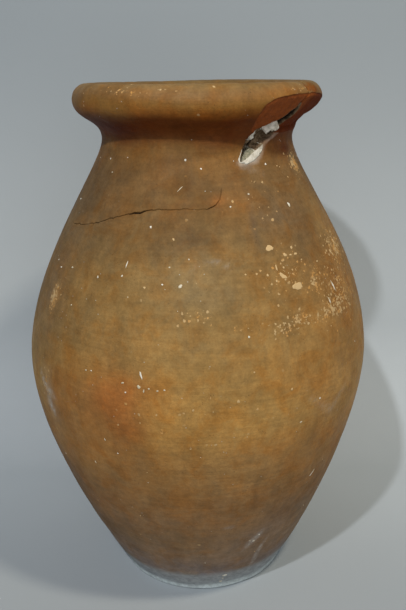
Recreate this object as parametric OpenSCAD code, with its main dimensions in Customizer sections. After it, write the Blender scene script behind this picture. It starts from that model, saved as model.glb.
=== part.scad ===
// Cracked terracotta jar, the tall kind that is planted as a garden pot.
// One thrown and fired vessel with a rolled rim. Its damage is part of its shape:
// a long flake is off the underside of the rim, a crack runs from the rim down into
// the neck and opens into a gouge there, and a fine crack crosses the shoulder.
// What is left of an old white plaster filling still sits in the gouge.
// Origin: centre of the underside. The front of the pot faces -Y.

/* [Body] */
// Overall height, from the ground to the top of the rim
pot_h = 647; // [567:5:777]
// Radius of the belly, where the pot is widest
belly_r = 219; // [190:1:263]
// Height of the belly above the ground
belly_z = 312; // [260:2:375]
// Thickness of the wall, measured level
wall_t = 13; // [10:0.5:16]
// Thickness of the floor
floor_t = 18; // [12:1:26]

/* [Foot] */
// Radius of the foot, where it meets the ground
foot_r = 115; // [96:1:138]
// Height of the nearly upright band of the foot
foot_h = 9; // [6:0.5:14]
// How much wider the top of that band is than the foot
foot_flare = 1.5; // [0.5:0.5:4]
// Rounding of the lower edge of the foot
heel_r = 3; // [1:0.5:5]

/* [Neck and rim] */
// Outer radius of the neck at its narrowest
neck_r = 116.5; // [95:0.5:125]
// Depth of the narrowest place below the top of the rim
neck_drop = 64; // [54:1:77]
// Outer radius of the rolled rim
rim_r = 150; // [136:0.5:180]
// Depth of the widest place of the rim below its top
rim_drop = 18; // [15:1:22]
// Radius of the crown of the rim, its highest ring
crown_r = 134; // [126:1:140]
// Radius of the mouth just inside the rim
mouth_r = 108; // [104:1:112]

/* [Drain hole] */
// Radius of the drain hole in the middle of the floor
drain_r = 12.5; // [8:0.5:20]

/* [Damage] */
// Depth of the flake scar below the rim at its deepest
flake_depth = 9.5; // [6:0.5:11]
// Radius of the scoop knocked out of the top of the rim
chip_r = 15; // [10:1:22]
// Depth of that scoop
chip_depth = 3; // [1:0.5:5]
// Width of the crack that goes through the rim and the neck
crack_w = 1.4; // [0.8:0.1:3]
// Width of the gouge in the neck at its widest
gouge_w = 20; // [12:1:24]
// Depth of the gouge where it lies below the flake scar
gouge_depth = 8; // [4:0.5:9]
// Width of the fine crack across the shoulder
shoulder_crack_w = 1.6; // [0.8:0.1:3]
// Depth of the fine crack
shoulder_crack_depth = 5; // [2:0.5:8]

/* [Plaster] */
// How far the plaster lies below the lip of the gouge
plaster_inset = 1; // [0.5:0.5:2]
// Thickness of the plaster smeared over the shoulder
smear_t = 1.2; // [0.8:0.2:2]

/* [Hidden] */

$fn = 96;
// Pieces in each curved stretch of the outline
curve_steps = 24;
// How far a cut starts outside the surface it enters
cut_over = 8;
rim_z = pot_h - rim_drop;
neck_z = pot_h - neck_drop;
inner_belly_r = belly_r - wall_t;
inner_neck_r = neck_r - wall_t;
// Rounding between the floor and the wall inside
inner_heel_r = 16;

// Shares of a height that a curve keeps to its upright: below and above the belly,
// below the neck, and at both ends of the underside of the rim
BELLY_BELOW = 0.36;
BELLY_ABOVE = 0.44;
NECK_BELOW = 0.13;
LIP_CURVE = 0.56;
// Directions in which the wall leaves the foot outside and the floor inside
FOOT_LEAVE = [14, 20];
HEEL_LEAVE = [20, 36];
// Width of the bottom of a cut as a share of its mouth, for the gouge and the fine crack
GOUGE_TAPER = 0.7;
CRACK_TAPER = 0.5;

// Damage along the rim and neck. Angles are in degrees about +Z, with -90 at the
// front, and drops are depths below the top of the rim.
// Flake scar: [angle, drop of its upper edge, drop of its lower edge, 1 where it bites]
FLAKE = [
    [-66, 40, 48, 0],
    [-63.5, 27, 56, 1],
    [-60, 18, 56, 1],
    [-55, 14, 55, 1],
    [-48, 12.5, 54, 1],
    [-40, 12, 54, 1],
    [-31, 12.5, 55, 1],
    [-21, 14, 55, 1],
    [-11, 17, 55, 1],
    [-2, 24, 53, 1],
    [5, 32, 46, 0]
];
// Pieces in the scar's line from its upper edge to its lower edge
FLAKE_STEPS = 4;
// How far the ends of that line stand clear of the surface
flake_clear = 1;
// Corner of the rim where the scoop is: [angle, radius, drop]
CHIP = [-28, (rim_r + crown_r) / 2 + 4, rim_drop * 0.22];
// Slope of the scoop's deepest direction above level
CHIP_TILT = 45;
// Crack through the wall: [angle, drop]
CRACK = [
    [-32, -6],
    [-33, 8],
    [-33.5, 18],
    [-36, 26],
    [-38.5, 35],
    [-43, 43],
    [-48, 50],
    [-54, 58],
    [-60, 67.5],
    [-64, 76],
    [-67, 83]
];
// Direction in which the crack goes through the wall
crack_angle = -50;
// Gouge along the crack: [angle, drop, share of the full width, share of gouge_depth].
// It is deeper from the sound surface where the flake scar has already lowered the clay.
GOUGE = [
    [-37.5, 34, 0.15, 1.5],
    [-40, 39, 0.4, 1.8],
    [-43.5, 43.5, 0.7, 1.6],
    [-48, 49.5, 0.95, 1.2],
    [-54, 57.5, 1, 1],
    [-60, 67, 0.9, 1],
    [-64, 75, 0.65, 0.9],
    [-67.5, 83, 0.2, 0.5]
];
// Fine crack across the shoulder: [angle, drop]
SHOULDER_CRACK = [
    [-158, 157],
    [-150, 156],
    [-144, 153],
    [-136, 148],
    [-131, 143],
    [-125, 138],
    [-119, 134],
    [-112, 130],
    [-106, 128],
    [-95, 127.5],
    [-86, 128],
    [-82.5, 125],
    [-80, 120],
    [-78.5, 111]
];
// Plaster left in the gouge: [first place along GOUGE, last place, from, to], where the
// last two run across the gouge from its upper wall at -1 to its lower wall at 1
PLASTER = [
    [2.3, 3.8, -2, -0.4],
    [4.15, 5, -2, -0.4],
    [4.7, 7, 0, 2]
];
// Smear on the shoulder below the gouge: [angle, drop, half its height]
SMEAR = [
    [-67, 84.5, 1.5],
    [-64, 84.5, 4],
    [-60.5, 81, 6],
    [-56.5, 76, 6.5],
    [-53, 70.5, 4.5],
    [-50, 66.5, 1.5]
];

// ---- Curves ----

function bezier_point(p, t) =
    pow(1 - t, 3) * p[0] + 3 * t * pow(1 - t, 2) * p[1]
    + 3 * t * t * (1 - t) * p[2] + t * t * t * p[3];

// Points of a curve from its first control point up to, not including, its last
function bezier(p, steps = curve_steps) =
    [for (i = [0 : steps - 1]) bezier_point(p, i / steps)];

// A curve that leaves one place straight up and reaches another straight up. lift and
// drop are the shares of the height between them that it keeps to each upright.
function swell(from, to, lift, drop, steps = curve_steps) =
    let (h = to[1] - from[1])
    bezier([from, from + [0, h * lift], to - [0, h * drop], to], steps);

// Outside of the pot from the ground to the widest place of the rim
function outer_wall() =
    let (
        heel = [foot_r, heel_r],
        foot_top = [foot_r + foot_flare, foot_h],
        belly = [belly_r, belly_z],
        neck = [neck_r, neck_z],
        rim = [rim_r, rim_z],
        belly_hold = [0, (belly_z - foot_h) * BELLY_BELOW]
    ) concat(
        bezier([[foot_r - heel_r, 0], [foot_r - heel_r / 2, 0], heel - [0, heel_r / 2], heel], 4),
        bezier([heel, heel + [0, heel_r / 2], foot_top - [foot_flare / 2, heel_r / 2], foot_top], 6),
        bezier([foot_top, foot_top + FOOT_LEAVE, belly - belly_hold, belly]),
        swell(belly, neck, BELLY_ABOVE, NECK_BELOW),
        swell(neck, rim, LIP_CURVE, LIP_CURVE, 14),
        [rim]
    );

// Radius of the sound outer surface at a height
WALL_BY_HEIGHT = [for (p = outer_wall()) [p[1], p[0]]];
function surface_r(z) = lookup(z, WALL_BY_HEIGHT);

// Over the rim and down into the mouth
function rim_top() =
    let (mouth_z = rim_z - rim_drop / 3)
    concat(
        bezier([[rim_r, rim_z], [rim_r, rim_z + rim_drop * 0.53],
            [crown_r + (rim_r - crown_r) * 0.5, pot_h], [crown_r, pot_h]], 10),
        bezier([[crown_r, pot_h], [crown_r - (crown_r - mouth_r) * 0.6, pot_h],
            [mouth_r, pot_h - rim_drop * 0.4], [mouth_r, mouth_z]], 10),
        bezier([[mouth_r, mouth_z], [mouth_r, mouth_z - rim_drop],
            [inner_neck_r, neck_z + rim_drop], [inner_neck_r, neck_z]], 8)
    );

// Inside of the pot from the neck to the middle of the underside
function inner_wall() =
    let (
        belly = [inner_belly_r, belly_z],
        inner_foot_r = surface_r(floor_t + inner_heel_r) - wall_t,
        heel = [inner_foot_r, floor_t + inner_heel_r],
        floor_edge = [inner_foot_r - inner_heel_r, floor_t],
        shoulder = swell(belly, [inner_neck_r, neck_z], BELLY_ABOVE, NECK_BELOW),
        belly_hold = [0, (belly_z - floor_t) * BELLY_BELOW]
    ) concat(
        [[inner_neck_r, neck_z]],
        [for (i = [curve_steps - 1 : -1 : 1]) shoulder[i]],
        bezier([belly, belly - belly_hold, heel + HEEL_LEAVE, heel]),
        bezier([heel, heel - HEEL_LEAVE * 0.2, floor_edge + [inner_heel_r / 2, 0], floor_edge], 6),
        [floor_edge, [0, floor_t]]
    );

// ---- Places on the surface ----

function outward(angle) = [cos(angle), sin(angle), 0];
function sideways(angle) = [-sin(angle), cos(angle), 0];
function at(angle, r, z) = r * outward(angle) + [0, 0, z];

// A surface point given as [angle, drop] as [arc length, height], to measure directions
function unrolled(s) =
    let (z = pot_h - s[1]) [s[0] * PI / 180 * surface_r(z), z];

// Unit direction of a line of surface points at point i, as [along the arc, up]
function heading(line, i) =
    let (
        a = unrolled(line[max(i - 1, 0)]),
        b = unrolled(line[min(i + 1, len(line) - 1)]),
        d = b - a
    ) d / norm(d);

// Four corners of a cut across a line at point i. from and to are distances across the
// line, out and deep are radii at the mouth and the bottom of the cut, and taper is the
// width of its bottom as a share of the width of its mouth.
function cut_ring(line, i, from, to, out, deep, taper) =
    let (
        angle = line[i][0],
        z = pot_h - line[i][1],
        d = heading(line, i),
        across = -d[1] * sideways(angle) + [0, 0, d[0]]
    ) [
        at(angle, out, z) + from * across,
        at(angle, out, z) + to * across,
        at(angle, deep, z) + to * taper * across,
        at(angle, deep, z) + from * taper * across
    ];

// A place part way along a line of surface values, with i a fraction of a step
function between(line, i) =
    let (k = min(floor(i), len(line) - 2), t = i - k)
    line[k] * (1 - t) + line[k + 1] * t;

// Closed solid through rings that all have the same number of points
module loft(rings) {
    n = len(rings[0]);
    last = len(rings) - 1;
    sides = [
        for (k = [0 : last - 1], i = [0 : n - 1])
            let (j = (i + 1) % n)
            each [
                [k * n + i, k * n + j, (k + 1) * n + i],
                [k * n + j, (k + 1) * n + j, (k + 1) * n + i]
            ]
    ];
    start_cap = [for (i = [1 : n - 2]) [0, i + 1, i]];
    end_cap = [for (i = [1 : n - 2]) [last * n, last * n + i, last * n + i + 1]];
    polyhedron(points = [for (ring = rings) each ring], faces = concat(start_cap, sides, end_cap));
}

// ---- Sound vessel ----

module vessel() {
    rotate_extrude()
        polygon(concat([[0, 0]], outer_wall(), rim_top(), inner_wall()));
}

module drain_hole() {
    translate([0, 0, -cut_over])
        cylinder(r = drain_r, h = floor_t + 2 * cut_over);
}

// ---- Damage ----

// Where the clay split off below the rim. Each ring runs round outside the pot and then
// down the scar, deepest half way, with its ends and the end rings clear of the surface.
function flake_ring(s) =
    let (
        upper_z = pot_h - s[1],
        lower_z = pot_h - s[2],
        outside_r = rim_r + cut_over
    ) concat(
        [at(s[0], outside_r, lower_z), at(s[0], outside_r, upper_z)],
        [
            for (t = [0 : 1 / FLAKE_STEPS : 1])
                let (
                    z = upper_z + t * (lower_z - upper_z),
                    depth = (flake_depth + flake_clear) * sin(180 * t) * s[3]
                )
                at(s[0], surface_r(min(z, rim_z)) + flake_clear - depth, z)
        ]
    );

module flake() {
    loft([for (s = FLAKE) flake_ring(s)]);
}

// Conchoidal scoop at the corner where the crack leaves the rim
module rim_chip() {
    reach = chip_r - chip_depth;
    side = reach * cos(CHIP_TILT);
    up = reach * sin(CHIP_TILT);
    translate(at(CHIP[0], CHIP[1] + side, pot_h - CHIP[2] + up))
        sphere(r = chip_r);
}

// Both edges of the crack, seen square on to its middle, as [sideways, up]
function crack_outline() =
    let (
        line = [
            for (s = CRACK)
                let (z = pot_h - s[1]) [surface_r(z) * sin(s[0] - crack_angle), z]
        ],
        last = len(line) - 1,
        edge = [
            for (i = [0 : last])
                let (d = line[min(i + 1, last)] - line[max(i - 1, 0)])
                crack_w / 2 / norm(d) * [-d[1], d[0]]
        ]
    ) concat(
        [for (i = [0 : last]) line[i] + edge[i]],
        [for (i = [last : -1 : 0]) line[i] - edge[i]]
    );

module through_crack() {
    inner_r = inner_neck_r / 2;
    rotate([0, 0, crack_angle + 90])
        rotate([90, 0, 0])
            translate([0, 0, inner_r])
                linear_extrude(height = rim_r + cut_over - inner_r)
                    polygon(crack_outline());
}

// Rings of a cut inside the gouge, between two shares of its width counted from the
// upper wall (-1) to the lower wall (1)
function gouge_rings(line, from, to, out, extra_depth) = [
    for (i = [0 : len(line) - 1])
        let (
            half = gouge_w / 2 * line[i][2],
            r = surface_r(pot_h - line[i][1]),
            deep = r - gouge_depth * line[i][3] - extra_depth
        )
        cut_ring(line, i, from * half, to * half, r + out, deep, GOUGE_TAPER)
];

module gouge() {
    loft(gouge_rings(GOUGE, -1, 1, cut_over, 0));
}

module shoulder_crack() {
    half = shoulder_crack_w / 2;
    loft([
        for (i = [0 : len(SHOULDER_CRACK) - 1])
            let (
                r = surface_r(pot_h - SHOULDER_CRACK[i][1]),
                deep = r - shoulder_crack_depth
            )
            cut_ring(SHOULDER_CRACK, i, -half, half, r + cut_over, deep, CRACK_TAPER)
    ]);
}

// ---- Plaster ----

// Part of GOUGE from place a to place b, as a line of its own
function gouge_part(a, b) = concat(
    [between(GOUGE, a)],
    [for (i = [ceil(a + 0.01) : floor(b - 0.01)]) GOUGE[i]],
    [between(GOUGE, b)]
);

// One remnant of the filling, with its face just below the lip of the gouge
module gouge_plaster(run) {
    intersection() {
        gouge();
        loft(gouge_rings(gouge_part(run[0], run[1]), run[2], run[3], -plaster_inset, 3));
    }
}

// Plaster wiped over the sound surface below the gouge
module smear() {
    difference() {
        loft([
            for (s = SMEAR)
                let (z = pot_h - s[1])
                [
                    at(s[0], surface_r(z - s[2]) - smear_t, z - s[2]),
                    at(s[0], surface_r(z - s[2]) + smear_t * 0.2, z - s[2]),
                    at(s[0], surface_r(z) + smear_t, z),
                    at(s[0], surface_r(z + s[2]) + smear_t * 0.6, z + s[2]),
                    at(s[0], surface_r(z + s[2]) - smear_t, z + s[2])
                ]
        ]);
        vessel();
    }
}

// ---- Nodes ----

module pot() {
    color([0.55, 0.42, 0.25])
        difference() {
            vessel();
            drain_hole();
            flake();
            rim_chip();
            through_crack();
            gouge();
            shoulder_crack();
        }
}

module repair_plaster() {
    color([0.78, 0.76, 0.71])
        union() {
            difference() {
                for (run = PLASTER)
                    gouge_plaster(run);
                flake();
            }
            smear();
        }
}

pot();
repair_plaster();
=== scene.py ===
"""Looks for the cracked terracotta jar.

The jar is one dense mesh, made from the same outline as the CAD part and then worn,
chipped and cracked. Places on it are given as an angle about +Z in degrees (-90 is the
front), with a drop in mm below the top of the rim or a height in mm above the floor. A
drop below 0 goes over the crown and into the mouth. Lengths are in mm until a mesh is
made.
"""
import math

import bmesh
import bpy
import numpy as np
from mathutils import Matrix, Vector


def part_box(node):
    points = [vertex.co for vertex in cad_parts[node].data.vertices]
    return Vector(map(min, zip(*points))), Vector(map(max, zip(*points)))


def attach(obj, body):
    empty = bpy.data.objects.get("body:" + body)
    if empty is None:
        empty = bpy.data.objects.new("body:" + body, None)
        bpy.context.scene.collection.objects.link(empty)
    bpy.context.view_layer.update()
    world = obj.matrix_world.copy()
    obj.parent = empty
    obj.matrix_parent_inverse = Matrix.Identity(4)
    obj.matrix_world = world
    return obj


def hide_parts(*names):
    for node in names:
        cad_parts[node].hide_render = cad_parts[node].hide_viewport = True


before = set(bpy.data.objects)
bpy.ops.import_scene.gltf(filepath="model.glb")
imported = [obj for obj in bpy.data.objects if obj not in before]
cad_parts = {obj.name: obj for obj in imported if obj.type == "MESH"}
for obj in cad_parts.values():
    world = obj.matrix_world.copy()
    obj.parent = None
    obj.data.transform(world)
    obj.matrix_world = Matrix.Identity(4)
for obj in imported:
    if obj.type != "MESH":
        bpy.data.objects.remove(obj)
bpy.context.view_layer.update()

MM = 0.001

# ---- Sizes of the sound pot ----

POT_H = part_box("pot")[1].z / MM
BELLY_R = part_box("pot")[1].x / MM
BELLY_Z = 312
WALL_T = 13
FLOOR_T = 18
FOOT_R = 115
FOOT_H = 9
FOOT_FLARE = 1.5
HEEL_R = 3
NECK_R = 116.5
NECK_Z = POT_H - 64
RIM_R = 150
RIM_DROP = 18
CROWN_R = 134
MOUTH_R = 108
DRAIN_R = 12.5
INNER_HEEL_R = 16
# Shares of a height that a curve keeps to its upright
BELLY_BELOW = 0.36
BELLY_ABOVE = 0.44
NECK_BELOW = 0.13
LIP_CURVE = 0.56
RIM_FULL = 0.53
CROWN_LEVEL = 0.6
MOUTH_ROUND = 0.4
# How far the wall's curve leaves the foot and the inner heel, as (outward, up)
FOOT_LEAVE = (14, 20)
HEEL_LEAVE = (20, 36)
HEEL_TURN = 0.2
# Steps of the mesh along the outline
UNDER_STEP, HEEL_STEP, WALL_STEP, RIM_STEP, MOUTH_STEP = 11, 1.5, 5, 2.5, 5
INSIDE_STEP, INNER_HEEL_STEP, FLOOR_STEP, DRAIN_STEP = 17, 7, 18, 7
COLUMNS = 256
SEAM = -270
# Points along a curve of the outline, and along a short one
CURVE, SHORT_CURVE = 160, 12
# Which stretches of the outline begin at the foot and in the mouth
FOOT_STRETCH, MOUTH_STRETCH = 1, 4

# ---- Damage ----

# Edge of the flake scar under the rim: (angle, drop)
FLAKE_EDGE = [
    (8, 40), (5, 30), (-2, 21), (-11, 15.5), (-20, 12.5), (-29, 11), (-38, 11.2), (-46, 12.5),
    (-53, 13.7), (-57.5, 16.3), (-60.8, 20), (-62.6, 25), (-63.6, 33), (-62.6, 41), (-61, 50),
    (-57, 56), (-48, 55), (-38, 55), (-28, 55), (-18, 55), (-8, 54), (2, 49),
]
FLAKE_DEPTH = 9.8
FLAKE_STEP = 1.1
# Top of the scar's hollow, as angles and the drop at each, and the drop of its foot
HOLLOW_TOP_AT = [-64, -62, -57, -50, -40, -28, -18, -10, 0, 8]
HOLLOW_TOP = [40, 24, 16, 13, 11, 11, 13, 16, 23, 40]
HOLLOW_FOOT = 55
# Crack through the rim, the scar and the gouge: (angle, drop)
THROUGH_CRACK = [
    (-30, -24), (-31, -14), (-31, -5), (-32.5, 3), (-33, 9), (-33.5, 14), (-35, 20),
    (-38, 28), (-40.5, 36), (-43, 43), (-48, 50), (-54, 58), (-60, 67.5), (-64, 76), (-66.5, 82),
]
CRACK_HALF_W = 1.3
CRACK_DEPTH = 5.5
CRACK_FADE = (90, 84)
# Gouge along the crack: (angle, drop, half width, depth below the sound surface)
GOUGE = [
    (-35.5, 22, 1.4, 10), (-36.6, 29, 6, 16), (-38.7, 36.3, 9.4, 18), (-41.8, 44, 10, 17),
    (-47.6, 50.7, 10.4, 12), (-54, 57, 11, 10), (-59.4, 65.4, 9, 9), (-63, 74, 5.5, 8),
    (-66.4, 81, 1.6, 4),
]
# Plaster smeared below the gouge and on its left lip, and the scuffed lower lip:
# (angle, drop, half width)
SMEAR = [
    (-66.8, 83.5, 1.2), (-63.5, 82.5, 3.6), (-60, 79, 5.2), (-56.5, 74.5, 5.6), (-53.2, 69, 4),
    (-51, 66, 1.4),
]
LEFT_LIP = [
    (-62.5, 61, 0.4), (-64.5, 67, 0.8), (-66.3, 74, 1), (-67.6, 80, 1.6), (-67.4, 83, 1.3),
]
SCUFFED_LIP = [
    (-52.5, 67.5, 1.2), (-48, 62.5, 1.6), (-43.5, 58, 1.6), (-39.5, 54, 1.4), (-35, 49, 1),
]
# Fine crack across the shoulder: (angle, drop, width, darkness). The darkness sets the painted shade in
# the crack and the depth of its groove.
SHOULDER_CRACK = [
    (-157.5, 156.5, 0.3, 0.1), (-156, 157, 0.5, 0.35), (-150, 156, 0.6, 0.5), (-144, 153, 0.5, 0.3),
    (-136, 148, 0.6, 0.55), (-131, 143, 0.7, 0.5), (-125, 138, 0.6, 0.4), (-121, 135.5, 0.7, 0.5),
    (-118, 133.5, 1.6, 1), (-115, 132, 1.5, 1), (-111.5, 130, 0.7, 0.6), (-107, 128.5, 0.6, 0.45),
    (-102, 128, 0.5, 0.45), (-95, 127.5, 0.4, 0.25), (-87, 128, 0.4, 0.25), (-84.5, 127, 0.8, 0.55),
    (-82, 124, 0.7, 0.5), (-80, 119, 0.5, 0.25), (-79, 111, 0.5, 0.3), (-78.8, 107, 0.2, 0),
]
SHOULDER_CRACK_HALF_W = 0.45
SHOULDER_CRACK_DEPTH = 2.6
# How far the shard above the shoulder crack has sunk
SHARD_SINK = 0.55
# Pale scuffs: (angle, drop, half width, strength)
SCUFFS = [
    [(-149.5, 325, 0.5, 0.3), (-148, 335, 1.6, 0.8), (-144, 344, 2.2, 0.9), (-140, 349, 1.5, 0.4)],
    [(-144, 352, 1.5, 0.5), (-144, 362, 3, 0.9), (-142.5, 370, 2.6, 0.9), (-141.5, 375, 1, 0.3)],
    [(-70, 562, 1, 0.2), (-68, 550, 3.5, 0.6), (-65.5, 541, 4, 0.8), (-63, 528, 1.6, 0.4)],
    [(-59, 548, 0.5, 0.2), (-60.5, 565, 1.5, 0.6), (-61.5, 582, 1.5, 0.7), (-61, 595, 1.2, 0.5),
     (-63, 612, 1, 0.3)],
    [(-93, 190, 0.3, 0.1), (-90, 181, 0.4, 0.2), (-83, 179, 0.4, 0.16), (-79, 186, 0.6, 0.24)],
    [(-97, 160, 0.3, 0.1), (-94, 159, 0.3, 0.18), (-91.5, 160, 0.3, 0.1)],
    [(-55, 335, 1, 0.12), (-45, 362, 5, 0.22), (-38, 340, 3, 0.15)],
    [(-81, 507, 0.3, 0.15), (-78, 508, 0.7, 0.3), (-76, 509, 0.3, 0.15)],
    [(-69, 84, 1.5, 0.1), (-66, 88, 2, 0.14), (-61, 92, 1.5, 0.12), (-55, 95, 1.2, 0.14)],
]
# Small hollows knocked into the surface: (angle, drop, radius, depth)
SCOOPS = [
    (-28, 3.5, 10, 2.6), (-34, 5, 4.5, 1.2), (-75.5, 69, 5, 0.9), (-140, 40, 4, 0.6),
    (-63, 170, 4.5, 0.5), (-55, 212, 5.5, 0.6), (-60, 199, 4.5, 0.5), (-52, 173, 3.5, 0.4),
    (-91, 230, 5, 0.5), (-20, 250, 6, 0.5), (35, 300, 8, 0.8), (120, 180, 7, 0.7),
    (70, 420, 9, 0.8), (160, 60, 5, 0.8), (95, 3, 7, 1.6), (-175, 4, 5, 1.1),
]

# ---- Outline ----


def bezier(p, steps=CURVE):
    """Points of a curve from its first control point up to, not including, its last."""
    p = np.array(p, float)
    t = (np.arange(steps) / steps)[:, None]
    return ((1 - t) ** 3 * p[0] + 3 * t * (1 - t) ** 2 * p[1]
            + 3 * t * t * (1 - t) * p[2] + t ** 3 * p[3])


def swell(start, end, lift, drop):
    """A curve that leaves one place straight up and reaches another straight up."""
    start, end = np.array(start, float), np.array(end, float)
    h = end[1] - start[1]
    return bezier([start, start + (0, h * lift), end - (0, h * drop), end])


FOOT_TOP = np.array([FOOT_R + FOOT_FLARE, FOOT_H])
BELLY, NECK = np.array([BELLY_R, BELLY_Z]), np.array([NECK_R, NECK_Z])
INNER_BELLY, INNER_NECK = BELLY - (WALL_T, 0), NECK - (WALL_T, 0)
RIM_Z = POT_H - RIM_DROP
MOUTH_Z = RIM_Z - RIM_DROP / 3


def heel():
    """The turn from the underside up to the top of the foot."""
    side = np.array([FOOT_R, HEEL_R])
    up = (0, HEEL_R / 2)
    return np.vstack([
        bezier([(FOOT_R - HEEL_R, 0), (FOOT_R - HEEL_R / 2, 0), side - up, side], SHORT_CURVE),
        bezier([side, side + up, FOOT_TOP - (FOOT_FLARE / 2, HEEL_R / 2), FOOT_TOP], SHORT_CURVE),
    ])


def outer_wall():
    """From the top of the foot, over the belly, to the neck."""
    below = (0, (BELLY_Z - FOOT_H) * BELLY_BELOW)
    return np.vstack([
        bezier([FOOT_TOP, FOOT_TOP + FOOT_LEAVE, BELLY - below, BELLY]),
        swell(BELLY, NECK, BELLY_ABOVE, NECK_BELOW),
    ])


def rim():
    """From the neck, over the rim and its crown, into the mouth."""
    crown = [CROWN_R, POT_H]
    return np.vstack([
        swell(NECK, (RIM_R, RIM_Z), LIP_CURVE, LIP_CURVE),
        bezier([(RIM_R, RIM_Z), (RIM_R, RIM_Z + RIM_DROP * RIM_FULL),
                ((CROWN_R + RIM_R) / 2, POT_H), crown]),
        bezier([crown, (CROWN_R - (CROWN_R - MOUTH_R) * CROWN_LEVEL, POT_H),
                (MOUTH_R, POT_H - RIM_DROP * MOUTH_ROUND), (MOUTH_R, MOUTH_Z)]),
    ])


def inner_wall(inner_heel):
    """From inside the neck down to the turn above the floor."""
    below = (0, (BELLY_Z - FLOOR_T) * BELLY_BELOW)
    return np.vstack([
        swell(INNER_BELLY, INNER_NECK, BELLY_ABOVE, NECK_BELOW)[::-1],
        bezier([INNER_BELLY, INNER_BELLY - below, inner_heel + HEEL_LEAVE, inner_heel]),
    ])


def outline():
    """The closed outline as stretches of (radius, height), each with its mesh step."""
    wall = outer_wall()
    heel_z = FLOOR_T + INNER_HEEL_R
    inner_r = np.interp(heel_z, wall[:, 1], wall[:, 0]) - WALL_T
    inner_heel = np.array([inner_r, heel_z])
    floor_edge = np.array([inner_r - INNER_HEEL_R, FLOOR_T])
    return [
        ([(DRAIN_R, 0)], UNDER_STEP),
        (heel(), HEEL_STEP),
        (wall, WALL_STEP),
        (rim(), RIM_STEP),
        (bezier([(MOUTH_R, MOUTH_Z), (MOUTH_R, MOUTH_Z - RIM_DROP),
                 INNER_NECK + (0, RIM_DROP), INNER_NECK]), MOUTH_STEP),
        (inner_wall(inner_heel), INSIDE_STEP),
        (bezier([inner_heel, inner_heel - np.array(HEEL_LEAVE) * HEEL_TURN,
                 floor_edge + (INNER_HEEL_R / 2, 0), floor_edge], SHORT_CURVE), INNER_HEEL_STEP),
        ([tuple(floor_edge)], FLOOR_STEP),
        ([(DRAIN_R, FLOOR_T)], DRAIN_STEP),
    ]


class Outline:
    """The outline by arc length, and the arc lengths of the mesh's rows."""

    def __init__(self):
        stretches = outline()
        points = np.vstack([np.array(s[0], float) for s in stretches] + [[(DRAIN_R, 0)]])
        self.v = np.concatenate([[0], np.cumsum(np.hypot(*np.diff(points, axis=0).T))])
        self.r, self.z = points.T
        ends = np.cumsum([0] + [len(s[0]) for s in stretches])
        rows = []
        for (start, end), (_, step) in zip(zip(ends[:-1], ends[1:]), stretches):
            a, b = self.v[start], self.v[end]
            count = max(1, math.ceil((b - a) / step))
            rows.append(a + (b - a) * np.arange(count) / count)
        self.rows = np.concatenate(rows + [[self.v[-1]]])
        self.crown = int(np.argmax(self.z))
        self.crown_v = self.v[self.crown]
        self.mouth_v = self.v[ends[MOUTH_STRETCH]]
        self.foot_v = self.v[ends[FOOT_STRETCH]]

    def at(self, v):
        """Radius, height, and outward normal as (radial, up), at arc lengths."""
        r, z = np.interp(v, self.v, self.r), np.interp(v, self.v, self.z)
        reach = 0.8
        dr = np.interp(v + reach, self.v, self.r) - np.interp(v - reach, self.v, self.r)
        dz = np.interp(v + reach, self.v, self.z) - np.interp(v - reach, self.v, self.z)
        n = np.hypot(dr, dz) + 1e-9
        return r, z, dz / n, -dr / n

    def arc(self, drop):
        """Arc length of a drop on the outside, or past the crown below 0."""
        drop = np.asarray(drop, float)
        outside = slice(0, self.crown + 1)
        on_wall = np.interp(POT_H - np.maximum(drop, 0), self.z[outside], self.v[outside])
        return np.where(drop < 0, self.crown_v - drop, on_wall)


LINE = Outline()

# ---- Noise ----

LATTICE_N = 64
LATTICE = np.random.default_rng(41).random((LATTICE_N,) * 3) * 2 - 1
# Where the pot lies in the lattice, and how far apart layers of noise are read
LATTICE_AT = 31.7
LAYER_SHIFT = 17


def noise(p, size):
    """Smooth noise from -1 to 1 at points p in mm, with features of about one size."""
    q = p / size + LATTICE_AT
    base = np.floor(q).astype(int)
    f = q - base
    f = f * f * (3 - 2 * f)
    out = np.zeros(len(p))
    for corner in range(8):
        d = np.array([corner & 1, corner >> 1 & 1, corner >> 2 & 1])
        weight = np.prod(np.where(d, f, 1 - f), axis=1)
        i = (base + d) % LATTICE_N
        out += weight * LATTICE[i[:, 0], i[:, 1], i[:, 2]]
    return out


def rough(p, size, octaves=3):
    """Layers of noise, each half the size and half the height of the last."""
    return sum(noise(p + LAYER_SHIFT * k, size / 2 ** k) / 2 ** k for k in range(octaves))


def ease(x, low=0.0, high=1.0):
    """0 below low, 1 above high, and smooth between."""
    t = np.clip((x - low) / (high - low), 0, 1)
    return t * t * (3 - 2 * t)


# ---- Lines on the surface ----


def surface_line(points):
    """(angle, drop, ...) as an array of (angle, arc length, ...)."""
    line = np.array(points, float)
    line[:, 1] = LINE.arc(line[:, 1])
    return line


def jagged(line, step, amount, seed):
    """The line cut into short pieces, each joint moved a little to one side."""
    rng = np.random.default_rng(seed)
    out = []
    for a, b in zip(line[:-1], line[1:]):
        length = math.hypot(math.radians(b[0] - a[0]) * RIM_R, b[1] - a[1])
        count = max(1, round(length / step))
        out += [a + (b - a) * k / count for k in range(count)]
    out = np.array(out + [line[-1]])
    shift = rng.normal(0, amount, (len(out) - 2, 2))
    out[1:-1, 0] += np.degrees(shift[:, 0] / RIM_R)
    out[1:-1, 1] += shift[:, 1]
    return out


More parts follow.
